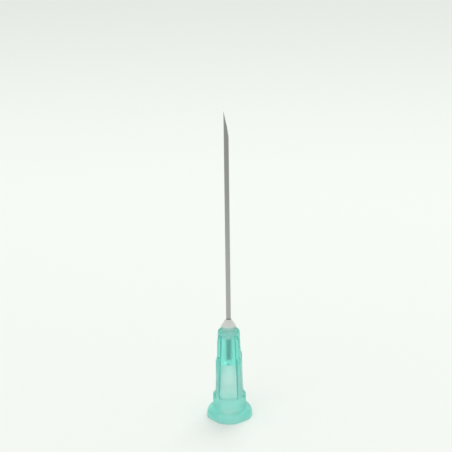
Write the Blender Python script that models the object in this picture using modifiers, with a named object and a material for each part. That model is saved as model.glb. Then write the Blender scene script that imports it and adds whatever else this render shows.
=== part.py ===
"""Hypodermic needle, 0.8 x 38 mm, standing on its moulded Luer-lock hub.

Three pieces share one axis, +Z, with the origin at the centre of the hub's base:

  hub            one moulding: lobed Luer-lock rim, collar, tapered barrel with four fins
                 that step in to slim ribs, a domed nose with a thin lip, Luer socket from
                 below, glue well from above
  cannula        ground steel tube, seated in the hub's core, with a lancet point
  adhesive_bead  the adhesive that fills the glue well and rises in a cone round the tube

Sizes are in millimetres and are turned into metres where points are made.
"""
import math

import bpy
from mathutils import Matrix, Vector

MM = 0.001

# Cannula
CANNULA_DIAMETER = 0.81
CANNULA_WALL = 0.15
EXPOSED_LENGTH = 37.75
BEVEL_LENGTH = 4.6
LANCET_LENGTH = 3.0
LANCET_TURN = math.radians(40.0)

# Luer-lock rim: lobes on X and Y, one flat between each two
LUG_DIAMETER = 7.8
LUG_FLAT_DEPTH = 0.27
RIM_FACE_HEIGHT = 0.4
RIM_ROUND_HEIGHT = 1.3
RIM_ROUND_DEPTH = 0.75
RIM_SLOPE_HEIGHT = 0.2
RIM_EDGE_CHAMFER = 0.06

# Luer socket, a 6 % taper measured on the diameter
SOCKET_DIAMETER = 4.28
SOCKET_TAPER = 0.06
SOCKET_DEPTH = 8.0
SOCKET_LEAD_IN = 0.1
SOCKET_SHOULDER = 0.55
CHAMBER_DIAMETER = 2.7
CHAMBER_HEIGHT = 1.6
FLOW_BORE_LENGTH = 0.7

# Collar and barrel
BARREL_WALL = 0.43
COLLAR_HEIGHT = 2.17
COLLAR_TAPER = 0.03
LEDGE_WIDTH = 0.38
LEDGE_FILLET = 0.3
BARREL_HEIGHT = 11.63

# Fins: a broad foot on the ledge, a rounded step, and a slim rib up to the neck
FIN_COUNT = 4
FIN_FIRST_ANGLE = math.radians(45.0)
FIN_THICKNESS = 0.66
FIN_FOOT_INSET = 0.05
FIN_DRAFT = 0.07
FIN_HEIGHT = 7.63
FIN_ROUND_HEIGHT = 0.7
RIB_OVERHANG = 0.42
RIB_ROUND_DEPTH = 0.7
RIB_ROUND_HEIGHT = 0.7

# Glue well and nose
WELL_DIAMETER = 2.2
WELL_DEPTH = 2.02
WELL_DRAFT = 0.06
NECK_WALL = 0.75
NOSE_HEIGHT = 1.32
LIP_HEIGHT = 0.5
LIP_WIDTH = 0.17
LIP_DRAFT = 0.07

# Adhesive bead
BEAD_HEIGHT = 1.28
BEAD_RIM_INSET = 0.03
BEAD_BULGE = 0.02
MENISCUS_WIDTH = 0.06

# Clearances between the pieces
SEAT_CLEARANCE = 0.03
BOND_CLEARANCE = 0.04

# Facets
ROUND_STEPS = 64
TUBE_STEPS = 36
ARC_POINTS = 7
SMOOTH_ANGLE = math.radians(30.0)

# How far a cutter runs past the face that it opens, and a fin into the barrel
OVERSHOOT = 1.0

# Sizes worked out from the ones above
CANNULA_RADIUS = CANNULA_DIAMETER / 2
RIM_TOP = RIM_FACE_HEIGHT + RIM_ROUND_HEIGHT
COLLAR_FOOT = RIM_TOP + RIM_SLOPE_HEIGHT
LEDGE_Z = COLLAR_FOOT + COLLAR_HEIGHT
NECK_Z = LEDGE_Z + BARREL_HEIGHT
HUB_TOP = NECK_Z + NOSE_HEIGHT
LUG_RADIUS = LUG_DIAMETER / 2


def socket_radius(height):
    """Radius of the Luer socket at a height over the base."""
    return (SOCKET_DIAMETER - SOCKET_TAPER * height) / 2


BARREL_FOOT_RADIUS = socket_radius(LEDGE_Z) + BARREL_WALL
LEDGE_RADIUS = BARREL_FOOT_RADIUS + LEDGE_WIDTH
COLLAR_RADIUS = LEDGE_RADIUS + COLLAR_TAPER
NECK_RADIUS = WELL_DIAMETER / 2 + NECK_WALL
LIP_RADIUS = WELL_DIAMETER / 2 + LIP_WIDTH
LIP_FOOT_RADIUS = LIP_RADIUS + LIP_DRAFT
RIB_RADIUS = NECK_RADIUS + RIB_OVERHANG
CHAMBER_TOP = SOCKET_DEPTH + SOCKET_SHOULDER + CHAMBER_HEIGHT
CANNULA_FOOT = CHAMBER_TOP + FLOW_BORE_LENGTH
WELL_FLOOR = HUB_TOP - WELL_DEPTH
BEAD_TOP = HUB_TOP + BEAD_HEIGHT
TIP_Z = BEAD_TOP + EXPOSED_LENGTH


def barrel_radius(height):
    """Radius of the tapered barrel at a height between the ledge and the neck."""
    share = (height - LEDGE_Z) / BARREL_HEIGHT
    return BARREL_FOOT_RADIUS + (NECK_RADIUS - BARREL_FOOT_RADIUS) * share


def clear_scene():
    """Remove the objects that are in the file."""
    for old in list(bpy.data.objects):
        bpy.data.objects.remove(old, do_unlink=True)


def new_collection(name):
    """Add a collection to the scene."""
    collection = bpy.data.collections.new(name)
    bpy.context.scene.collection.children.link(collection)
    return collection


def new_material(name, colour, roughness, metallic=0.0):
    """Principled material with one colour."""
    material = bpy.data.materials.new(name)
    material.use_nodes = True
    shader = material.node_tree.nodes["Principled BSDF"]
    shader.inputs["Base Color"].default_value = (*colour, 1.0)
    shader.inputs["Roughness"].default_value = roughness
    shader.inputs["Metallic"].default_value = metallic
    material.diffuse_color = (*colour, 1.0)
    return material


def elliptic_arc(centre, radii, start, end):
    """Points of an elliptic arc in the (radius, height) plane, both ends included."""
    points = []
    for index in range(ARC_POINTS):
        angle = start + (end - start) * index / (ARC_POINTS - 1)
        points.append((centre[0] + radii[0] * math.cos(angle), centre[1] + radii[1] * math.sin(angle)))
    return points


def bulged_line(start, end, bulge):
    """Points of a line that bows outwards by the bulge at its middle, both ends included."""
    run = Vector((end[0] - start[0], end[1] - start[1]))
    outward = Vector((-run.y, run.x)).normalized()
    points = []
    for index in range(ARC_POINTS):
        share = index / (ARC_POINTS - 1)
        point = Vector(start) + run * share + outward * bulge * math.sin(math.pi * share)
        points.append((point.x, point.y))
    return points


def turned(name, profile, steps, collection, closed=False):
    """Solid of revolution about Z from a (radius, height) profile run top to bottom on its outer side."""
    mesh = bpy.data.meshes.new(name)
    vertices = [(radius * MM, 0.0, height * MM) for radius, height in profile]
    edges = [(index, index + 1) for index in range(len(profile) - 1)]
    if closed:
        edges.append((len(profile) - 1, 0))
    mesh.from_pydata(vertices, edges, [])
    obj = bpy.data.objects.new(name, mesh)
    collection.objects.link(obj)
    screw = obj.modifiers.new("turn", "SCREW")
    screw.axis = "Z"
    screw.angle = math.tau
    screw.steps = steps
    screw.render_steps = steps
    screw.use_merge_vertices = True
    screw.merge_threshold = 0.000001
    return obj


def box(name, size, centre, turn, collection):
    """Box of the given sizes, placed by its centre and turned by a matrix."""
    bpy.ops.mesh.primitive_cube_add(size=1.0)
    obj = bpy.context.object
    obj.name = name
    scale = Matrix.Diagonal((*[value * MM for value in size], 1.0))
    obj.data.transform(scale)
    obj.matrix_world = Matrix.Translation(Vector(centre) * MM) @ turn.to_4x4()
    for owner in list(obj.users_collection):
        owner.objects.unlink(obj)
    collection.objects.link(obj)
    return obj


def combine(target, tool, operation):
    """Boolean of the target with a tool, which is kept as a hidden guide."""
    tool.hide_render = True
    tool.display_type = "WIRE"
    step = target.modifiers.new(tool.name, "BOOLEAN")
    step.operation = operation
    step.solver = "EXACT"
    step.object = tool


def finish(obj, material):
    """Freeze the modifiers into the mesh, shade round faces smooth and give the material."""
    bpy.context.view_layer.update()
    evaluated = obj.evaluated_get(bpy.context.evaluated_depsgraph_get())
    mesh = bpy.data.meshes.new_from_object(evaluated)
    obj.modifiers.clear()
    obj.data = mesh
    mesh.name = obj.name
    mesh.materials.clear()
    mesh.materials.append(material)
    mesh.shade_smooth()
    mesh.set_sharp_from_angle(angle=SMOOTH_ANGLE)
    return obj


def hub_profile():
    """Outer outline of the hub, from the lip down to the rim's lower edge."""
    nose = elliptic_arc(
        (LIP_FOOT_RADIUS, NECK_Z),
        (NECK_RADIUS - LIP_FOOT_RADIUS, NOSE_HEIGHT - LIP_HEIGHT),
        math.pi / 2,
        0.0,
    )
    fillet_top = LEDGE_Z + LEDGE_FILLET
    fillet_centre = (barrel_radius(fillet_top) + LEDGE_FILLET, fillet_top)
    foot = elliptic_arc(fillet_centre, (LEDGE_FILLET, LEDGE_FILLET), math.pi, 1.5 * math.pi)
    shoulder = elliptic_arc(
        (LUG_RADIUS - RIM_ROUND_DEPTH, RIM_FACE_HEIGHT),
        (RIM_ROUND_DEPTH, RIM_ROUND_HEIGHT),
        math.pi / 2,
        0.0,
    )
    return [
        (0.0, HUB_TOP),
        (LIP_RADIUS, HUB_TOP),
        *nose,
        *foot,
        (LEDGE_RADIUS, LEDGE_Z),
        (COLLAR_RADIUS, COLLAR_FOOT),
        *shoulder,
        (LUG_RADIUS, RIM_EDGE_CHAMFER),
        (LUG_RADIUS - RIM_EDGE_CHAMFER, 0.0),
        (0.0, 0.0),
    ]


def socket_profile():
    """Inner outline of the Luer socket, the chamber over it and the flow bore."""
    chamber = CHAMBER_DIAMETER / 2
    flow = CANNULA_RADIUS - CANNULA_WALL
    return [
        (0.0, CANNULA_FOOT + OVERSHOOT),
        (flow, CANNULA_FOOT + OVERSHOOT),
        (flow, CHAMBER_TOP),
        (chamber, CHAMBER_TOP),
        (chamber, SOCKET_DEPTH + SOCKET_SHOULDER),
        (socket_radius(SOCKET_DEPTH), SOCKET_DEPTH),
        (socket_radius(SOCKET_LEAD_IN), SOCKET_LEAD_IN),
        (socket_radius(0.0) + SOCKET_LEAD_IN, 0.0),
        (socket_radius(0.0) + SOCKET_LEAD_IN, -OVERSHOOT),
        (0.0, -OVERSHOOT),
    ]


def well_profile():
    """Inner outline of the glue well and of the seat that takes the cannula."""
    mouth = WELL_DIAMETER / 2
    seat = CANNULA_RADIUS + SEAT_CLEARANCE
    return [
        (0.0, HUB_TOP + OVERSHOOT),
        (mouth, HUB_TOP + OVERSHOOT),
        (mouth, HUB_TOP),
        (mouth - WELL_DRAFT, WELL_FLOOR),
        (seat, WELL_FLOOR),
        (seat, CANNULA_FOOT - SEAT_CLEARANCE),
        (0.0, CANNULA_FOOT - SEAT_CLEARANCE),
    ]


def fin_profile():
    """Side outline of a fin, from the core out along the ledge and up to the neck."""
    core = CANNULA_DIAMETER
    foot = LEDGE_Z - LEDGE_FILLET
    outer = LEDGE_RADIUS - FIN_FOOT_INSET
    step = LEDGE_Z + FIN_HEIGHT
    step_round = (outer - FIN_DRAFT - RIB_RADIUS, FIN_ROUND_HEIGHT)
    rib_end = NECK_Z - RIB_ROUND_HEIGHT
    rib_round = (RIB_ROUND_DEPTH, RIB_ROUND_HEIGHT)
    return [
        (core, foot),
        (outer, foot),
        (outer, LEDGE_Z),
        *elliptic_arc((RIB_RADIUS, step - FIN_ROUND_HEIGHT), step_round, 0.0, math.pi / 2),
        *elliptic_arc((RIB_RADIUS - RIB_ROUND_DEPTH, rib_end), rib_round, 0.0, math.pi / 2),
        (core, NECK_Z),
    ]


def add_fin(hub, angle, cutters):
    """Join one fin to the hub: its side outline, made a plate of the fin's thickness."""
    mesh = bpy.data.meshes.new("fin_guide")
    outline = [(radius * MM, 0.0, height * MM) for radius, height in fin_profile()]
    mesh.from_pydata(outline, [], [range(len(outline))])
    fin = bpy.data.objects.new("fin_guide", mesh)
    cutters.objects.link(fin)
    fin.matrix_world = Matrix.Rotation(angle, 4, "Z")
    plate = fin.modifiers.new("plate", "SOLIDIFY")
    plate.thickness = FIN_THICKNESS * MM
    plate.offset = 0.0
    combine(hub, fin, "UNION")


def build_hub(parts, cutters, material):
    """The moulded hub."""
    hub = turned("hub", hub_profile(), ROUND_STEPS, parts)
    for index in range(FIN_COUNT):
        add_fin(hub, FIN_FIRST_ANGLE + index * math.tau / FIN_COUNT, cutters)
    flats = box(
        "flats_guide",
        (2 * (LUG_RADIUS - LUG_FLAT_DEPTH), 2 * (LUG_RADIUS - LUG_FLAT_DEPTH), 2 * HUB_TOP + OVERSHOOT),
        (0.0, 0.0, HUB_TOP / 2),
        Matrix.Rotation(FIN_FIRST_ANGLE, 3, "Z"),
        cutters,
    )
    combine(hub, flats, "INTERSECT")
    combine(hub, turned("socket_guide", socket_profile(), ROUND_STEPS, cutters), "DIFFERENCE")
    combine(hub, turned("well_guide", well_profile(), ROUND_STEPS, cutters), "DIFFERENCE")
    return finish(hub, material)


def grind(cannula, turn_about_axis, slope, cutters):
    """Cut the tube along a plane through its tip, sloping to the axis and turned about it."""
    normal = Vector(
        (
            math.cos(slope) * math.cos(turn_about_axis),
            math.cos(slope) * math.sin(turn_about_axis),
            math.sin(slope),
        )
    )
    side = 4 * BEVEL_LENGTH
    tip = Vector((-CANNULA_RADIUS, 0.0, TIP_Z))
    centre = tip + normal * side / 2
    turn = normal.to_track_quat("Z", "Y").to_matrix()
    wheel = box("grind_guide", (side, side, side), centre, turn, cutters)
    combine(cannula, wheel, "DIFFERENCE")


def build_cannula(parts, cutters, material):
    """The steel tube with its bevel and the two lancet grinds beside the point."""
    inner = CANNULA_RADIUS - CANNULA_WALL
    stock = TIP_Z + OVERSHOOT
    outline = [
        (CANNULA_RADIUS, stock),
        (CANNULA_RADIUS, CANNULA_FOOT),
        (inner, CANNULA_FOOT),
        (inner, stock),
    ]
    cannula = turned("cannula", outline, TUBE_STEPS, parts, closed=True)
    bevel = math.atan2(CANNULA_DIAMETER, BEVEL_LENGTH)
    reach = math.acos(1.0 - LANCET_LENGTH * math.tan(bevel) / CANNULA_RADIUS)
    lancet = math.atan(
        math.tan(bevel) * (math.sin(LANCET_TURN) / math.tan(reach / 2) + math.cos(LANCET_TURN))
    )
    grind(cannula, 0.0, bevel, cutters)
    grind(cannula, LANCET_TURN, lancet, cutters)
    grind(cannula, -LANCET_TURN, lancet, cutters)
    return finish(cannula, material)


def build_bead(parts, material):
    """The adhesive: fills the well and rises in a cone to the tube."""
    bore = CANNULA_RADIUS + BOND_CLEARANCE
    mouth = WELL_DIAMETER / 2
    rim_z = HUB_TOP + BOND_CLEARANCE
    skirt = (LIP_RADIUS - BEAD_RIM_INSET, rim_z)
    cone = bulged_line((bore + MENISCUS_WIDTH, BEAD_TOP), skirt, BEAD_BULGE)
    outline = [
        (bore, BEAD_TOP),
        *cone,
        (mouth - BOND_CLEARANCE, rim_z),
        (mouth - WELL_DRAFT - BOND_CLEARANCE, WELL_FLOOR + BOND_CLEARANCE),
        (bore, WELL_FLOOR + BOND_CLEARANCE),
    ]
    bead = turned("adhesive_bead", outline, ROUND_STEPS, parts, closed=True)
    return finish(bead, material)


def main():
    """Build the needle."""
    clear_scene()
    parts = new_collection("hypodermic_needle")
    cutters = new_collection("guides")
    green = new_material("translucent_green_polypropylene", (0.25, 0.66, 0.53), 0.3)
    steel = new_material("ground_stainless_steel", (0.56, 0.57, 0.56), 0.28, 1.0)
    epoxy = new_material("whitish_adhesive", (0.62, 0.66, 0.62), 0.35)
    build_hub(parts, cutters, green)
    build_cannula(parts, cutters, steel)
    build_bead(parts, epoxy)


main()
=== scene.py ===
"""Hypodermic needle standing on its moulded hub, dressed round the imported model.

The hub, the cannula and the adhesive bead are modelled again with fine round
faces and stand in for their nodes. The pieces' sizes are in millimetres and
become metres where points are made. Finishes and the stage are in metres.
Nothing here moves.
"""
from __future__ import annotations

import logging
import math
from dataclasses import dataclass, field
from enum import Enum
from typing import Any, Callable, Sequence

import bpy
from mathutils import Matrix, Vector


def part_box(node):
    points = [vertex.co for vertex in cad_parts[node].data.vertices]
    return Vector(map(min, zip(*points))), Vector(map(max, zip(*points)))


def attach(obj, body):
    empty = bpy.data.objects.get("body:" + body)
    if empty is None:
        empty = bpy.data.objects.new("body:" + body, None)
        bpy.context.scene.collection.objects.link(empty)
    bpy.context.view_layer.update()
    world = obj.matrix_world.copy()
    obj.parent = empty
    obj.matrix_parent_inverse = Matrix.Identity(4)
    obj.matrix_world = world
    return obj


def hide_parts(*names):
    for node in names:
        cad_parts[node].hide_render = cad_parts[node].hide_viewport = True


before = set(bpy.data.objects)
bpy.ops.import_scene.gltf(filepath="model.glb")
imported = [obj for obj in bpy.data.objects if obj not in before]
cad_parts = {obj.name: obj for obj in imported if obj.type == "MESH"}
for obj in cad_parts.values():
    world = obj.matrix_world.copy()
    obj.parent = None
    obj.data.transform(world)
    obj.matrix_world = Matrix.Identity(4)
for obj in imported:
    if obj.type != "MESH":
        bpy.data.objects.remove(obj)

log = logging.getLogger("needle")

MM = 0.001
BODY = "root"
WELD = 1.0e-7
SMOOTH_ANGLE = math.radians(32.0)
BEVEL_SEGMENTS = 3
NEARLY = 0.99
SAME_WAY = 0.999
FULL_TURN = 360.0

NOISE_DETAIL = 2.0
NOISE_ROUGHNESS = 0.5
NOISE_MIDDLE = 0.5
MIX_FIRST = 6
MIX_SECOND = 7
MIX_RESULT = 2

Point = tuple[float, float]
Colour = tuple[float, float, float]
Scale = tuple[float, float, float]
Place = tuple[float, float, float]

BLACK: Colour = (0.0, 0.0, 0.0)
METAL = {"Metallic": 1.0}


class Sock:
    """A node's output, with Python's operators adding Math nodes."""

    def __init__(self, graph: Graph, socket: bpy.types.NodeSocket) -> None:
        """Wrap an output socket of a graph."""
        self.graph = graph
        self.socket = socket

    def _math(self, operation: str, first: Any, second: Any) -> Sock:
        """The output of a new Math node."""
        return self.graph.add("ShaderNodeMath", {"operation": operation}, {0: first, 1: second})

    def __add__(self, other: Any) -> Sock:
        """Sum."""
        return self._math("ADD", self, other)

    __radd__ = __add__

    def __sub__(self, other: Any) -> Sock:
        """Difference."""
        return self._math("SUBTRACT", self, other)

    def __rsub__(self, other: Any) -> Sock:
        """Difference with the number first."""
        return self._math("SUBTRACT", other, self)

    def __mul__(self, other: Any) -> Sock:
        """Product."""
        return self._math("MULTIPLY", self, other)

    __rmul__ = __mul__

    def at_least(self, other: Any) -> Sock:
        """The larger of two values."""
        return self._math("MAXIMUM", self, other)

    def clamp(self) -> Sock:
        """The value kept between 0 and 1."""
        return self.graph.add("ShaderNodeClamp", {}, {"Value": self})


def rgba(colour: Any) -> Any:
    """A plain colour with full alpha, or a socket as it is."""
    return colour if isinstance(colour, Sock) else (*colour, 1.0)


def dimmed(colour: Colour, share: float) -> Colour:
    """A plain colour with a share of its light."""
    return tuple(part * share for part in colour)


class Graph:
    """A material's or the world's node tree."""

    def __init__(self, tree: bpy.types.NodeTree) -> None:
        """Empty a node tree and keep it."""
        tree.nodes.clear()
        self.tree = tree

    def node(self, kind: str, settings: dict[str, Any], inputs: dict[Any, Any]) -> bpy.types.Node:
        """Add a node, apply its settings, then its values and links.

        Args:
            kind: the node's type name.
            settings: attributes by name.
            inputs: numbers, colours or sockets, by socket name or index.

        Returns:
            The node.
        """
        new = self.tree.nodes.new(kind)
        for name, value in settings.items():
            setattr(new, name, value)
        for name, value in inputs.items():
            if isinstance(value, Sock):
                self.tree.links.new(value.socket, new.inputs[name])
            else:
                new.inputs[name].default_value = value
        return new

    def add(
        self, kind: str, settings: dict[str, Any], inputs: dict[Any, Any], output: Any = 0
    ) -> Sock:
        """A new node's output, by name or index."""
        return Sock(self, self.node(kind, settings, inputs).outputs[output])

    def point(self) -> Sock:
        """Object coordinates."""
        return self.add("ShaderNodeTexCoord", {}, {}, "Object")

    def along(self, axis: str) -> Sock:
        """The Object coordinate along one axis, in metres."""
        return self.add("ShaderNodeSeparateXYZ", {}, {"Vector": self.point()}, axis)

    def ray(self, kind: str) -> Sock:
        """1 for rays of one kind, such as Camera."""
        return self.add("ShaderNodeLightPath", {}, {}, f"Is {kind} Ray")

    def noise(self, scale: Scale, detail: float = NOISE_DETAIL) -> Sock:
        """Noise on Object coordinates, about 0 to 1.

        Args:
            scale: grains in a metre along X, Y and Z.
            detail: octaves.

        Returns:
            The noise value.
        """
        place = self.add("ShaderNodeMapping", {}, {"Vector": self.point(), "Scale": scale})
        inputs = {"Vector": place, "Scale": 1.0, "Detail": detail, "Roughness": NOISE_ROUGHNESS}
        return self.add("ShaderNodeTexNoise", {}, inputs, "Fac")

    def between(self, value: Sock, low: float, high: float) -> Sock:
        """Smooth rise from 0 at low to 1 at high.

        Args:
            value: what is compared.
            low: where the rise starts.
            high: where it ends.

        Returns:
            The share.
        """
        settings = {"interpolation_type": "SMOOTHSTEP"}
        inputs = {"Value": value, "From Min": low, "From Max": high}
        return self.add("ShaderNodeMapRange", settings, inputs)

    def blend(self, share: Any, first: Any, second: Any) -> Sock:
        """Two colours mixed: share 0 gives the first and 1 the second."""
        inputs = {"Factor": share, MIX_FIRST: rgba(first), MIX_SECOND: rgba(second)}
        return self.add("ShaderNodeMix", {"data_type": "RGBA"}, inputs, MIX_RESULT)

    def shade(self, colour: Any, share: Any) -> Sock:
        """A colour with a share of its light, where either can be a socket."""
        return self.blend(1.0 - share, colour, BLACK)

    def bump(self, height: Sock, depth: float) -> Sock:
        """The normal of a relief from 0 to 1 with a depth in metres."""
        return self.add("ShaderNodeBump", {}, {"Height": height, "Distance": depth})

    def principled(self, colour: Any, rough: Sock, relief: Sock, fixed: dict[str, float]) -> Sock:
        """A Principled shader.

        Args:
            colour: its base colour, plain or a socket.
            rough: its roughness.
            relief: its normal.
            fixed: its constants, by socket name.

        Returns:
            The shader.
        """
        inputs = {"Base Color": rgba(colour), "Roughness": rough, "Normal": relief, **fixed}
        return self.add("ShaderNodeBsdfPrincipled", {}, inputs)

    def mix(self, share: Any, first: Sock, second: Sock) -> Sock:
        """Two shaders mixed: share 0 gives the first and 1 the second."""
        return self.add("ShaderNodeMixShader", {}, {0: share, 1: first, 2: second})

    def finish(self, surface: Sock, volume: Sock | None = None) -> None:
        """Add the output node of a material.

        Args:
            surface: the shader.
            volume: the volume shader, if there is one.
        """
        inputs = {"Surface": surface}
        if volume is not None:
            inputs["Volume"] = volume
        self.node("ShaderNodeOutputMaterial", {}, inputs)


def new_material(name: str) -> tuple[bpy.types.Material, Graph]:
    """A material with an empty node tree.

    Args:
        name: its name.

    Returns:
        The material and its graph.
    """
    material = bpy.data.materials.new(name)
    material.use_nodes = True
    return material, Graph(material.node_tree)


@dataclass(frozen=True)
class MouldedPlastic:
    """Semi-clear tinted polypropylene.

    The body is clear, for a part with a haze, and its tint grows with depth. A
    small share is milky. Soft clouds change the milk and the roughness a little,
    and with a fine grain they make the relief.
    """

    name: str = "moulded_polypropylene"
    clear: Colour = (0.99, 1.0, 0.995)
    milk: Colour = (0.1, 1.0, 0.9)
    milk_share: float = 0.05
    milk_shade: float = 0.92
    tint: Colour = (0.12, 0.925, 0.84)
    tint_density: float = 320.0
    refraction: float = 1.42
    roughness: float = 0.1
    haze_share: float = 0.6
    haze_roughness: float = 0.4
    cloud_scale: Scale = (900.0, 900.0, 350.0)
    cloud_detail: float = 3.0
    cloud_change: float = 0.08
    cloud_relief: float = 0.6
    grain_scale: Scale = (9000.0, 9000.0, 5000.0)
    relief_depth: float = 8.0e-6

    def _clear(self, graph: Graph, rough: Sock, relief: Sock) -> Sock:
        """The clear part of the plastic at one roughness."""
        fixed = {"IOR": self.refraction, "Transmission Weight": 1.0}
        return graph.principled(self.clear, rough, relief, fixed)

    def build(self) -> bpy.types.Material:
        """Mix the plastic.

        Returns:
            The material.
        """
        material, graph = new_material(self.name)
        cloud = graph.noise(self.cloud_scale, self.cloud_detail)
        grain = graph.noise(self.grain_scale)
        height = cloud * self.cloud_relief + grain * (1.0 - self.cloud_relief)
        relief = graph.bump(height, self.relief_depth)
        rough = self.roughness + self.cloud_change * cloud
        sharp = self._clear(graph, rough, relief)
        soft = self._clear(graph, rough + self.haze_roughness, relief)
        clear = graph.mix(self.haze_share, sharp, soft)
        colour = graph.blend(cloud, self.milk, dimmed(self.milk, self.milk_shade))
        milk = graph.principled(colour, rough, relief, {"IOR": self.refraction})
        share = (self.milk_share + self.cloud_change * (cloud - NOISE_MIDDLE)).clamp()
        inputs = {"Color": rgba(self.tint), "Density": self.tint_density}
        depth = graph.add("ShaderNodeVolumeAbsorption", {}, inputs)
        graph.finish(graph.mix(share, clear, milk), depth)
        return material


@dataclass(frozen=True)
class DrawnSteel:
    """Drawn stainless tube.

    Fine lines run along Z, and painted reflection darkens the tone towards
    the point. A dark band of painted shadow shows where the tube leaves the
    glue, and below it the steel is painted green, a painted reflection of the hub.
    """

    name: str = "drawn_stainless_tube"
    # painted reflection: the tube is lighter near the hub and darker towards the point
    low: Colour = (0.475, 0.472, 0.455)
    high: Colour = (0.33, 0.333, 0.323)
    # painted shadow: a dark band on the tube where it enters the glue
    painted_entry_shade: Colour = (0.16, 0.17, 0.165)
    # painted reflection: the steel inside the hub is painted green for the plastic it reflects
    inside: Colour = (0.37, 0.45, 0.44)
    low_z: float = 0.022
    high_z: float = 0.052
    glue_z: float = 0.0183
    ring_height: float = 0.00035
    ring_foot_z: float = 0.0165
    roughness: float = 0.26
    line_scale: Scale = (60000.0, 60000.0, 500.0)
    line_share: float = 0.5
    line_shade: float = 0.84
    line_roughness: float = 0.14
    line_depth: float = 1.5e-6
    patch_scale: Scale = (900.0, 900.0, 160.0)

    def build(self) -> bpy.types.Material:
        """Mix the steel.

        Returns:
            The material.
        """
        material, graph = new_material(self.name)
        lines = graph.noise(self.line_scale)
        patches = graph.noise(self.patch_scale)
        height = graph.along("Z")
        # painted reflection, darker towards the point
        tone = graph.blend(graph.between(height, self.low_z, self.high_z), self.low, self.high)
        bright = self.line_share * lines + (1.0 - self.line_share) * patches
        colour = graph.blend(bright, graph.shade(tone, self.line_shade), tone)
        # painted shadow just under the glue's top, painted green reflection below it
        clear_of_glue = graph.between(height, self.glue_z, self.glue_z + self.ring_height)
        painted_shadow_share = graph.between(height, self.ring_foot_z, self.ring_foot_z + 2 * self.ring_height)
        painted_light_below_glue = graph.blend(painted_shadow_share, self.inside, self.painted_entry_shade)
        colour = graph.blend(clear_of_glue, painted_light_below_glue, colour)
        rough = self.roughness + self.line_roughness * lines
        relief = graph.bump(lines, self.line_depth)
        graph.finish(graph.principled(colour, rough, relief, METAL))
        return material


@dataclass(frozen=True)
class GroundSteel:
    """The ground facets of the point, with lines across the grind."""

    name: str = "ground_stainless_facet"
    colour: Colour = (0.36, 0.37, 0.345)
    roughness: float = 0.2
    line_scale: Scale = (1500.0, 1500.0, 30000.0)
    line_shade: float = 0.9
    line_roughness: float = 0.12
    line_depth: float = 1.0e-6

    def build(self) -> bpy.types.Material:
        """Mix the steel.

        Returns:
            The material.
        """
        material, graph = new_material(self.name)
        lines = graph.noise(self.line_scale)
        colour = graph.blend(lines, dimmed(self.colour, self.line_shade), self.colour)
        rough = self.roughness + self.line_roughness * lines
        relief = graph.bump(lines, self.line_depth)
        graph.finish(graph.principled(colour, rough, relief, METAL))
        return material


@dataclass(frozen=True)
class CuredAdhesive:
    """Whitish semi-clear adhesive.

    Its skin is pale, with painted green light from the hub on a skirt just over
    the hub's lip. Inside the well, under the lip, it is painted brighter and
    green, as painted light from the hub.
    """

    name: str = "cured_adhesive"
    skin: Colour = (0.785, 0.775, 0.765)
    # painted light: green from the hub on the adhesive just over the lip
    skirt: Colour = (0.76, 0.88, 0.84)
    # painted light: brighter and green inside the well, for the hub's light on it
    inside: Colour = (0.72, 0.95, 0.92)
    clear: Colour = (0.96, 0.98, 0.96)
    lip_z: float = 0.01702
    lip_blend: float = 0.00002
    skirt_height: float = 0.00045
    milk_share: float = 0.88
    milk_change: float = 0.1
    refraction: float = 1.5
    roughness: float = 0.16
    cloud_scale: Scale = (2200.0, 2200.0, 1500.0)
    cloud_detail: float = 3.0
    cloud_share: float = 0.6
    cloud_shade: float = 0.9
    cloud_roughness: float = 0.12
    relief_depth: float = 1.0e-5

    def build(self) -> bpy.types.Material:
        """Mix the adhesive.

        Returns:
            The material.
        """
        material, graph = new_material(self.name)
        cloud = graph.noise(self.cloud_scale, self.cloud_detail)
        rough = self.roughness + self.cloud_roughness * cloud
        relief = graph.bump(cloud, self.relief_depth)
        height = graph.along("Z")
        over_skirt = graph.between(height, self.lip_z, self.lip_z + self.skirt_height)
        shown = graph.between(height, self.lip_z - self.lip_blend, self.lip_z + self.lip_blend)
        # painted green light on the skirt over the lip
        outside = graph.blend(over_skirt, self.skirt, self.skin)
        # painted light inside the well, under the lip
        tone = graph.blend(shown, self.inside, outside)
        colour = graph.blend(self.cloud_share * cloud, tone, graph.shade(tone, self.cloud_shade))
        fixed = {"IOR": self.refraction}
        clear = graph.principled(self.clear, rough, relief, {**fixed, "Transmission Weight": 1.0})
        milk = graph.principled(colour, rough, relief, fixed)
        share = (self.milk_share + self.milk_change * (cloud - NOISE_MIDDLE)).clamp()
        graph.finish(graph.mix(share, clear, milk))
        return material


class Cut(Enum):
    """What a tool does to a piece."""

    JOIN = "UNION"
    REMOVE = "DIFFERENCE"
    KEEP = "INTERSECT"


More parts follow.
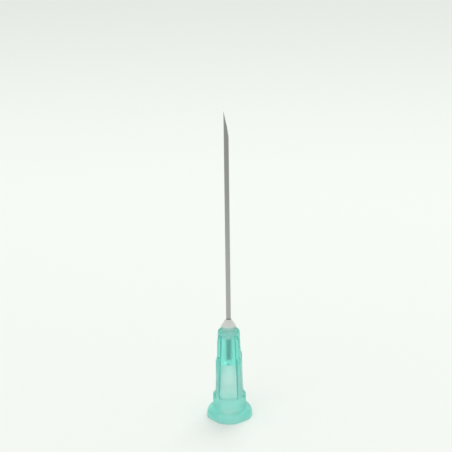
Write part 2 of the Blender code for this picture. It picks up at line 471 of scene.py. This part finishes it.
class Bench:
    """Modelling steps that the pieces share."""

    @staticmethod
    def deselect() -> None:
        """Deselect every object."""
        bpy.ops.object.select_all(action="DESELECT")

    @staticmethod
    def only(obj: bpy.types.Object) -> None:
        """Select one object and make it active.

        Args:
            obj: the object.
        """
        Bench.deselect()
        obj.select_set(True)
        bpy.context.view_layer.objects.active = obj

    @staticmethod
    def draw(name: str, outline: Sequence[Point], side: float, closed: bool) -> bpy.types.Object:
        """Draw an outline point by point, and stay in edit mode with all of it selected.

        Args:
            name: the object's name.
            outline: (radius, height) points in millimetres.
            side: its place along Y in millimetres.
            closed: whether the last point joins the first.

        Returns:
            The object.
        """
        Bench.deselect()
        bpy.ops.mesh.primitive_plane_add(size=MM)
        obj = bpy.context.object
        obj.name = name
        obj.data.name = name
        points = [Vector((radius * MM, side * MM, height * MM)) for radius, height in outline]
        if closed:
            points.append(points[0])
        bpy.ops.object.mode_set(mode="EDIT")
        bpy.ops.mesh.select_all(action="SELECT")
        bpy.ops.mesh.merge(type="CENTER")
        bpy.ops.transform.translate(value=points[0])
        for here, there in zip(points, points[1:]):
            bpy.ops.mesh.extrude_region_move(TRANSFORM_OT_translate={"value": there - here})
        bpy.ops.mesh.select_all(action="SELECT")
        bpy.ops.mesh.remove_doubles(threshold=WELD)
        return obj

    @staticmethod
    def close() -> None:
        """Weld the seam and the poles, point the faces outwards, and leave edit mode."""
        bpy.ops.mesh.select_all(action="SELECT")
        bpy.ops.mesh.remove_doubles(threshold=WELD)
        bpy.ops.mesh.normals_make_consistent(inside=False)
        bpy.ops.object.mode_set(mode="OBJECT")

    @staticmethod
    def turn(
        name: str, outline: Sequence[Point], steps: int, closed: bool = False
    ) -> bpy.types.Object:
        """Draw an outline and spin it about Z.

        Args:
            name: the object's name.
            outline: (radius, height) points in millimetres.
            steps: faces in a full turn.
            closed: whether the last point joins the first.

        Returns:
            The turned solid.
        """
        obj = Bench.draw(name, outline, 0.0, closed)
        origin = (0.0, 0.0, 0.0)
        bpy.ops.mesh.spin(steps=steps, angle=math.tau, center=origin, axis=(0.0, 0.0, 1.0))
        Bench.close()
        return obj

    @staticmethod
    def plate(
        name: str, outline: Sequence[Point], thickness: float, angle: float, bevel: float
    ) -> bpy.types.Object:
        """A flat plate that stands out from the axis.

        Args:
            name: the object's name.
            outline: (radius, height) points in millimetres.
            thickness: the plate's thickness in millimetres.
            angle: its place about Z.
            bevel: width of its rounded edges in millimetres.

        Returns:
            The plate, its object at the origin.
        """
        obj = Bench.draw(name, outline, -thickness / 2, closed=True)
        bpy.ops.mesh.edge_face_add()
        across = (0.0, thickness * MM, 0.0)
        bpy.ops.mesh.extrude_region_move(TRANSFORM_OT_translate={"value": across})
        Bench.close()
        half = thickness / 2 * MM * NEARLY
        for edge in obj.data.edges:
            ends = [obj.data.vertices[index].co.y for index in edge.vertices]
            edge.select = min(ends) > half or max(ends) < -half
        for vertex in obj.data.vertices:
            vertex.select = False
        bpy.ops.object.mode_set(mode="EDIT")
        bpy.ops.mesh.bevel(offset=bevel * MM, segments=BEVEL_SEGMENTS, affect="EDGES")
        bpy.ops.object.mode_set(mode="OBJECT")
        obj.matrix_world = Matrix.Rotation(angle, 4, "Z")
        bpy.ops.object.transform_apply(location=True, rotation=True, scale=True)
        return obj

    @staticmethod
    def block(name: str, size: Sequence[float], centre: Vector, turn: Matrix) -> bpy.types.Object:
        """A block, placed and turned in its mesh.

        Args:
            name: the object's name.
            size: edge lengths in millimetres.
            centre: its centre in millimetres.
            turn: its 3x3 rotation.

        Returns:
            The block, its object at the origin.
        """
        Bench.deselect()
        bpy.ops.mesh.primitive_cube_add(size=1.0)
        obj = bpy.context.object
        obj.name = name
        obj.scale = [edge * MM for edge in size]
        bpy.ops.object.transform_apply(location=False, rotation=False, scale=True)
        obj.matrix_world = Matrix.Translation(centre * MM) @ turn.to_4x4()
        bpy.ops.object.transform_apply(location=True, rotation=True, scale=True)
        return obj

    @staticmethod
    def cut(target: bpy.types.Object, tool: bpy.types.Object, way: Cut) -> None:
        """Join, remove or keep by a tool, and delete the tool.

        Args:
            target: the piece.
            tool: the tool.
            way: what the tool does.
        """
        Bench.only(target)
        step = target.modifiers.new(tool.name, "BOOLEAN")
        step.operation = way.value
        step.solver = "EXACT"
        step.object = tool
        bpy.ops.object.modifier_apply(modifier=step.name)
        bpy.data.objects.remove(tool, do_unlink=True)

    @staticmethod
    def smooth(obj: bpy.types.Object) -> None:
        """Shade round faces smooth and leave edges crisp."""
        Bench.only(obj)
        bpy.ops.object.shade_smooth_by_angle(angle=SMOOTH_ANGLE)

    @staticmethod
    def select_faces(
        obj: bpy.types.Object, wanted: Callable[[bpy.types.MeshPolygon], bool]
    ) -> None:
        """Select the faces that pass a test, in object mode.

        Args:
            obj: the piece.
            wanted: the test.
        """
        mesh = obj.data
        for item in (*mesh.vertices, *mesh.edges, *mesh.polygons):
            item.select = False
        for face in mesh.polygons:
            face.select = wanted(face)

    @staticmethod
    def arc(centre: Point, radii: Point, start: float, end: float, count: int) -> list[Point]:
        """Points of an elliptic arc.

        Args:
            centre: its centre (radius, height).
            radii: its half axes.
            start: first angle in degrees.
            end: last angle in degrees.
            count: how many points.

        Returns:
            The points, both ends included.
        """
        points = []
        for index in range(count):
            angle = math.radians(start + (end - start) * index / (count - 1))
            out = centre[0] + radii[0] * math.cos(angle)
            up = centre[1] + radii[1] * math.sin(angle)
            points.append((out, up))
        return points


@dataclass
class Cannula:
    """The steel tube with its ground point."""

    diameter: float = 0.81
    wall: float = 0.15
    bevel_length: float = 4.6
    lancet_length: float = 3.0
    lancet_turn: float = math.radians(40.0)
    wheel_lengths: float = 4.0
    overshoot: float = 1.0
    steps: int = 64
    foot: float = field(init=False)
    tip: float = field(init=False)

    def __post_init__(self) -> None:
        """Take the ends from the frame."""
        low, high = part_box("cannula")
        self.foot = low[2] / MM
        self.tip = high[2] / MM

    @property
    def radius(self) -> float:
        """Outer radius."""
        return self.diameter / 2

    def _stock(self) -> bpy.types.Object:
        """The plain tube, longer than the needle.

        Returns:
            The tube.
        """
        inner = self.radius - self.wall
        end = self.tip + self.overshoot
        outline = [(self.radius, end), (self.radius, self.foot), (inner, self.foot), (inner, end)]
        return Bench.turn("cannula_tube", outline, self.steps, closed=True)

    def _grinds(self) -> list[tuple[float, float]]:
        """Angles of the bevel and the two lancet grinds.

        Returns:
            (turn about Z, slope to the axis) of each.
        """
        bevel = math.atan2(self.diameter, self.bevel_length)
        reach = math.acos(1.0 - self.lancet_length * math.tan(bevel) / self.radius)
        steepness = math.sin(self.lancet_turn) / math.tan(reach / 2) + math.cos(self.lancet_turn)
        lancet = math.atan(math.tan(bevel) * steepness)
        return [(0.0, bevel), (self.lancet_turn, lancet), (-self.lancet_turn, lancet)]

    def _grind(self, tube: bpy.types.Object) -> list[Vector]:
        """Grind the point, each face by a block for the wheel.

        Args:
            tube: the plain tube.

        Returns:
            The normals of the ground faces.
        """
        tip = Vector((-self.radius, 0.0, self.tip))
        side = self.wheel_lengths * self.bevel_length
        normals = []
        for turn, slope in self._grinds():
            flat = math.cos(slope)
            normal = Vector((flat * math.cos(turn), flat * math.sin(turn), math.sin(slope)))
            normals.append(normal)
            matrix = normal.to_track_quat("Z", "Y").to_matrix()
            wheel = Bench.block("wheel", (side, side, side), tip + normal * side / 2, matrix)
            Bench.cut(tube, wheel, Cut.REMOVE)
        return normals

    def _dress(self, tube: bpy.types.Object, normals: Sequence[Vector]) -> None:
        """Give the drawn tube and its ground faces their steel.

        Args:
            tube: the ground tube.
            normals: the normals of its ground faces.
        """
        tube.data.materials.clear()
        tube.data.materials.append(DrawnSteel().build())
        tube.data.materials.append(GroundSteel().build())
        edge = (self.tip - self.bevel_length - self.overshoot) * MM

        def ground(face: bpy.types.MeshPolygon) -> bool:
            """Whether a face is one of the ground ones."""
            faces_wheel = any(face.normal.dot(normal) > SAME_WAY for normal in normals)
            return face.center.z > edge and faces_wheel

        Bench.select_faces(tube, ground)
        Bench.only(tube)
        tube.active_material_index = len(tube.data.materials) - 1
        bpy.ops.object.mode_set(mode="EDIT")
        bpy.ops.object.material_slot_assign()
        bpy.ops.object.mode_set(mode="OBJECT")

    def build(self) -> bpy.types.Object:
        """Model and dress the tube.

        Returns:
            The piece.
        """
        tube = self._stock()
        normals = self._grind(tube)
        self._dress(tube, normals)
        Bench.smooth(tube)
        return tube


@dataclass
class Hub:
    """The moulded hub, with a seat for the cannula."""

    cannula: Cannula
    lug_diameter: float = 7.8
    lug_flat_depth: float = 0.27
    lug_turn: float = 45.0
    flats_reach: float = 3.0
    rim_face: float = 0.4
    rim_round: float = 1.2
    rim_round_depth: float = 0.75
    rim_slope: float = 0.3
    socket_diameter: float = 4.28
    socket_taper: float = 0.06
    socket_depth: float = 8.0
    socket_shoulder: float = 0.55
    socket_lead: float = 0.1
    chamber_diameter: float = 2.7
    chamber_height: float = 1.6
    chamber_round: float = 0.15
    barrel_wall: float = 0.43
    barrel_height: float = 11.85
    collar_height: float = 2.17
    collar_taper: float = 0.03
    ledge_width: float = 0.38
    ledge_fillet: float = 0.3
    fin_count: int = 4
    fin_core: float = 0.81
    fin_thickness: float = 0.66
    fin_foot_inset: float = 0.05
    fin_draft: float = 0.07
    fin_height: float = 7.63
    fin_round_height: float = 0.7
    fin_edge_round: float = 0.05
    rib_overhang: float = 0.42
    rib_round_depth: float = 0.7
    rib_round_height: float = 0.7
    rib_gap: float = 0.2
    well_diameter: float = 2.2
    well_depth: float = 2.02
    well_draft: float = 0.06
    seat_clearance: float = 0.04
    flow_bore_diameter: float = 0.51
    flow_bore_length: float = 0.7
    neck_wall: float = 0.75
    nose_height: float = 1.10
    nose_round: float = 0.3
    nose_round_start: float = 75.0
    lip_height: float = 0.5
    lip_width: float = 0.17
    lip_draft: float = 0.07
    lip_round: float = 0.05
    edge_round: float = 0.1
    edge_points: int = 5
    nose_points: int = 8
    fin_points: int = 9
    arc_points: int = 10
    steps: int = 128
    overshoot: float = 1.0
    collar_foot: float = field(init=False)
    ledge: float = field(init=False)
    neck: float = field(init=False)
    top: float = field(init=False)
    roof: float = field(init=False)
    foot_radius: float = field(init=False)
    neck_radius: float = field(init=False)

    def __post_init__(self) -> None:
        """Work out the heights and radii that follow from the sizes."""
        self.collar_foot = self.rim_face + self.rim_round + self.rim_slope
        self.ledge = self.collar_foot + self.collar_height
        self.neck = self.ledge + self.barrel_height
        self.top = self.neck + self.nose_height
        self.roof = self.socket_depth + self.socket_shoulder + self.chamber_height
        self.foot_radius = self.socket_radius(self.ledge) + self.barrel_wall
        self.neck_radius = self.well_diameter / 2 + self.neck_wall

    def socket_radius(self, height: float) -> float:
        """Radius of the socket at a height."""
        return (self.socket_diameter - self.socket_taper * height) / 2

    def barrel_radius(self, height: float) -> float:
        """Radius of the barrel at a height."""
        share = (height - self.ledge) / self.barrel_height
        return self.foot_radius + (self.neck_radius - self.foot_radius) * share

    def _nose(self) -> list[Point]:
        """Outline of the thin lip and the nose's corner.

        Returns:
            Its points from the axis outwards.
        """
        lip = self.well_diameter / 2 + self.lip_width
        edge = self.lip_round
        bend = self.nose_round
        corner = (self.neck_radius - bend, self.neck)
        return [
            (0.0, self.top),
            *Bench.arc((lip - edge, self.top - edge), (edge, edge), 90, 0, self.edge_points),
            (lip + self.lip_draft, self.top - self.lip_height),
            *Bench.arc(corner, (bend, bend), self.nose_round_start, 0, self.nose_points),
        ]

    def _collar(self) -> list[Point]:
        """Outline of the fillet at the barrel's foot, the ledge and the collar.

        Returns:
            Its points downwards.
        """
        fillet = self.ledge_fillet
        start = self.ledge + fillet
        centre = (self.barrel_radius(start) + fillet, start)
        out = self.foot_radius + self.ledge_width
        soft = self.edge_round
        return [
            *Bench.arc(centre, (fillet, fillet), 180, 270, self.arc_points),
            *Bench.arc((out - soft, self.ledge - soft), (soft, soft), 90, 0, self.edge_points),
            (out + self.collar_taper, self.collar_foot),
        ]

    def _rim(self) -> list[Point]:
        """Outline of the round rim, before its flats.

        Returns:
            Its points downwards and back to the axis.
        """
        lug = self.lug_diameter / 2
        centre = (lug - self.rim_round_depth, self.rim_face)
        radii = (self.rim_round_depth, self.rim_round)
        soft = self.edge_round
        return [
            *Bench.arc(centre, radii, 90, 0, self.arc_points),
            *Bench.arc((lug - soft, soft), (soft, soft), 0, -90, self.edge_points),
            (0.0, 0.0),
        ]

    def _socket(self) -> bpy.types.Object:
        """The tool that opens the socket and the chamber.

        Returns:
            The tool.
        """
        chamber = self.chamber_diameter / 2
        soft = self.chamber_round
        lead = self.socket_lead
        mouth = self.socket_radius(0.0) + lead
        outline = [
            (0.0, self.roof),
            *Bench.arc((chamber - soft, self.roof - soft), (soft, soft), 90, 0, self.edge_points),
            (chamber, self.socket_depth + self.socket_shoulder),
            (self.socket_radius(self.socket_depth), self.socket_depth),
            (self.socket_radius(lead), lead),
            (mouth, 0.0),
            (mouth, -self.overshoot),
            (0.0, -self.overshoot),
        ]
        return Bench.turn("socket_tool", outline, self.steps)

    def _well(self) -> bpy.types.Object:
        """The tool that opens the glue well.

        Returns:
            The tool.
        """
        mouth = self.well_diameter / 2
        floor = self.top - self.well_depth
        outline = [
            (0.0, self.top + self.overshoot),
            (mouth, self.top + self.overshoot),
            (mouth, self.top),
            (mouth - self.well_draft, floor),
            (0.0, floor),
        ]
        return Bench.turn("well_tool", outline, self.steps)

    def _seat(self) -> bpy.types.Object:
        """The tool that opens the tube's seat and the flow bore under it.

        Returns:
            The tool.
        """
        flow = self.flow_bore_diameter / 2
        radius = self.cannula.radius + self.seat_clearance
        stop = self.roof + self.flow_bore_length
        outline = [
            (0.0, self.top),
            (radius, self.top),
            (radius, stop),
            (flow, stop),
            (flow, self.roof - self.overshoot),
            (0.0, self.roof - self.overshoot),
        ]
        return Bench.turn("seat_tool", outline, self.steps // 2)

    def _fin_outline(self) -> list[Point]:
        """Side outline of a fin: a broad foot, a step, and a slim rib up to the neck.

        Returns:
            Its points.
        """
        foot = self.ledge - self.ledge_fillet
        out = self.foot_radius + self.ledge_width - self.fin_foot_inset
        rib = self.neck_radius + self.rib_overhang
        shoulder = self.ledge + self.fin_height - self.fin_round_height
        shoulder_radii = (out - self.fin_draft - rib, self.fin_round_height)
        rib_top = self.neck - self.rib_gap
        rib_end = rib_top - self.rib_round_height
        rib_centre = (rib - self.rib_round_depth, rib_end)
        rib_radii = (self.rib_round_depth, self.rib_round_height)
        return [
            (self.fin_core, foot),
            (out, foot),
            (out, self.ledge),
            *Bench.arc((rib, shoulder), shoulder_radii, 0, 90, self.fin_points),
            *Bench.arc(rib_centre, rib_radii, 0, 90, self.fin_points),
            (self.fin_core, rib_top),
        ]

    def _add_fins(self, hub: bpy.types.Object) -> None:
        """Join the fins, one over each lobe of the rim.

        Args:
            hub: the turned hub.
        """
        outline = self._fin_outline()
        for index in range(self.fin_count):
            angle = math.radians(self.lug_turn + index * FULL_TURN / self.fin_count)
            fin = Bench.plate("fin", outline, self.fin_thickness, angle, self.fin_edge_round)
            Bench.cut(hub, fin, Cut.JOIN)

    def _cut_flats(self, hub: bpy.types.Object) -> None:
        """Cut the rim's four flats with one square block, taller than the hub.

        Args:
            hub: the hub with its fins.
        """
        across = self.lug_diameter - 2 * self.lug_flat_depth
        size = (across, across, self.flats_reach * self.top)
        centre = Vector((0.0, 0.0, self.top / 2))
        turn = Matrix.Rotation(math.radians(self.lug_turn), 3, "Z")
        Bench.cut(hub, Bench.block("flats", size, centre, turn), Cut.KEEP)

    def build(self) -> bpy.types.Object:
        """Model and dress the hub.

        Returns:
            The piece.
        """
        outline = [*self._nose(), *self._collar(), *self._rim()]
        hub = Bench.turn("hub_moulding", outline, self.steps)
        self._add_fins(hub)
        self._cut_flats(hub)
        Bench.cut(hub, self._socket(), Cut.REMOVE)
        Bench.cut(hub, self._well(), Cut.REMOVE)
        Bench.cut(hub, self._seat(), Cut.REMOVE)
        hub.data.materials.clear()
        hub.data.materials.append(MouldedPlastic().build())
        Bench.smooth(hub)
        return hub


@dataclass
class Bead:
    """The adhesive in the well and round the tube."""

    hub: Hub
    cannula: Cannula
    height: float = 1.28
    bulge: float = 0.02
    meniscus: float = 0.06
    gap: float = 0.03
    lip_inset: float = 0.03
    wetting: float = 0.02
    skin_steps: int = 12
    steps: int = 96

    def _cone(self) -> list[Point]:
        """The exposed skin.

        Returns:
            Its points from the tube down to the lip.
        """
        foot = self.hub.well_diameter / 2 + self.hub.lip_width - self.lip_inset
        start = Vector((self.cannula.radius + self.meniscus, self.hub.top + self.height))
        end = Vector((foot, self.hub.top + self.gap))
        run = end - start
        outward = Vector((-run.y, run.x)).normalized()
        points = []
        for index in range(self.skin_steps + 1):
            share = index / self.skin_steps
            point = start + run * share + outward * self.bulge * math.sin(math.pi * share)
            points.append((point.x, point.y))
        return points

    def build(self) -> bpy.types.Object:
        """Model and dress the bead.

        Returns:
            The piece.
        """
        mouth = self.hub.well_diameter / 2 + self.wetting
        floor = self.hub.top - self.hub.well_depth - self.wetting
        bore = self.cannula.radius
        outline = [
            (bore, self.hub.top + self.height),
            *self._cone(),
            (mouth, self.hub.top + self.gap),
            (mouth - self.hub.well_draft, floor),
            (bore, floor),
        ]
        bead = Bench.turn("adhesive_cone", outline, self.steps, closed=True)
        bead.data.materials.clear()
        bead.data.materials.append(CuredAdhesive().build())
        Bench.smooth(bead)
        return bead


@dataclass(frozen=True)
class Lamp:
    """A soft square lamp that looks at the object's foot, in metres and watts."""

    name: str
    place: Place
    size: float
    power: float

    def build(self) -> None:
        """Hang the lamp."""
        data = bpy.data.lights.new(self.name, "AREA")
        data.shape = "SQUARE"
        data.size = self.size
        data.energy = self.power
        lamp = bpy.data.objects.new(self.name, data)
        bpy.context.scene.collection.objects.link(lamp)
        place = Vector(self.place)
        lamp.location = place
        lamp.rotation_euler = (-place).to_track_quat("-Z", "Y").to_euler()


@dataclass
class Studio:
    """Floor, lamps, world and camera."""

    floor_colour: Colour = (0.918, 0.94, 0.912)
    floor_size: float = 2.4
    floor_place: Place = (0.0, 0.2, 0.0)
    # painted shade: the floor darkens from far_start to far_end, down to far_tone
    far_start: float = 0.085
    far_end: float = 0.27
    far_tone: float = 0.825
    glow: float = 0.1
    glow_through: float = 0.2
    seen_strength: float = 1.0
    lit_strength: float = 0.75
    key: Lamp = Lamp("key", place=(0.08, 0.3, 0.58), size=0.35, power=1.32)
    fill: Lamp = Lamp("fill", place=(-0.25, -0.4, 0.4), size=0.4, power=0.38)
    distance: float = 0.400
    elevation: float = math.radians(28.0)
    azimuth: float = math.radians(5.0)
    focal_pixels: float = 2298.0
    image_width: float = 452.0
    base_row: float = 414.0
    base_column_shift: float = 1.3
    roll: float = math.radians(-0.75)
    sensor: float = 36.0
    clip_start: float = 0.01
    clip_end: float = 10.0

    @staticmethod
    def _straight(graph: Graph) -> Sock:
        """1 for rays that show the backdrop: from the camera, mirrored or let through."""
        seen = graph.ray("Camera").at_least(graph.ray("Glossy"))
        return seen.at_least(graph.ray("Transmission"))

    def _floor(self) -> None:
        """Lay a pale floor, with painted shade that darkens it a little with distance."""
        Bench.deselect()
        bpy.ops.mesh.primitive_plane_add(size=self.floor_size, location=self.floor_place)
        floor = bpy.context.object
        floor.name = "floor"
        bpy.ops.object.transform_apply(location=True, rotation=True, scale=True)
        material, graph = new_material("pale_floor")
        direct = self.glow * graph.ray("Camera")
        glow_share = direct.at_least(self.glow_through * self._straight(graph))
        # painted shade towards the back of the floor
        far = graph.between(graph.along("Y"), self.far_start, self.far_end)
        colour = graph.shade(self.floor_colour, 1.0 - (1.0 - self.far_tone) * far)
        inputs = {"Color": colour, "Strength": self.seen_strength}
        glow = graph.add("ShaderNodeEmission", {}, inputs)
        plain = graph.add("ShaderNodeBsdfDiffuse", {}, {"Color": colour})
        graph.finish(graph.mix(glow_share, plain, glow))
        floor.data.materials.append(material)

    def _sky(self) -> None:
        """Surround the object with an even world."""
        world = bpy.data.worlds.new("studio")
        bpy.context.scene.world = world
        world.use_nodes = True
        graph = Graph(world.node_tree)
        inputs = {"Color": rgba(self.floor_colour), "Strength": self.seen_strength}
        seen = graph.add("ShaderNodeBackground", {}, inputs)
        lit = graph.add("ShaderNodeBackground", {}, {**inputs, "Strength": self.lit_strength})
        sky = graph.mix(self._straight(graph), lit, seen)
        graph.node("ShaderNodeOutputWorld", {}, {"Surface": sky})

    def _camera(self) -> None:
        """Set up the camera at the photograph's angle."""
        drop = math.atan((self.base_row - self.image_width / 2) / self.focal_pixels)
        pitch = self.elevation - drop
        flat = Matrix.Rotation(self.azimuth, 3, "Z")
        place = Vector((0.0, -math.cos(self.elevation), math.sin(self.elevation))) * self.distance
        right = Vector((1.0, 0.0, 0.0))
        ahead = Vector((0.0, math.cos(pitch), -math.sin(pitch)))
        ahead = (ahead - right * self.base_column_shift / self.focal_pixels).normalized()
        up = right.cross(ahead).normalized()
        right = ahead.cross(up)
        basis = Matrix((right, up, -ahead)).transposed()
        turn = flat @ basis @ Matrix.Rotation(self.roll, 3, "Z")
        data = bpy.data.cameras.new("camera")
        data.sensor_width = self.sensor
        data.lens = self.focal_pixels / self.image_width * self.sensor
        data.clip_start = self.clip_start
        data.clip_end = self.clip_end
        camera = bpy.data.objects.new("camera", data)
        bpy.context.scene.collection.objects.link(camera)
        camera.matrix_world = Matrix.Translation(flat @ place) @ turn.to_4x4()
        bpy.context.scene.camera = camera

    def build(self) -> None:
        """Set the stage."""
        self._floor()
        self.key.build()
        self.fill.build()
        self._sky()
        self._camera()
        bpy.context.scene.view_settings.view_transform = "Standard"


def hand_over(piece: bpy.types.Object, node: str) -> None:
    """Give a piece its body, hide the node that it stands for, and report it.

    Args:
        piece: the finished piece.
        node: the node it replaces.
    """
    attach(piece, BODY)
    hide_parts(node)
    log.info("%s: %d faces", piece.name, len(piece.data.polygons))


def main() -> None:
    """Build the needle and its stage."""
    logging.basicConfig(level=logging.INFO, format="%(name)s %(message)s")
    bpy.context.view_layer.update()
    cannula = Cannula()
    hub = Hub(cannula)
    bead = Bead(hub, cannula)
    hand_over(cannula.build(), "cannula")
    hand_over(hub.build(), "hub")
    hand_over(bead.build(), "adhesive_bead")
    Studio().build()


if __name__ == "__main__":
    main()
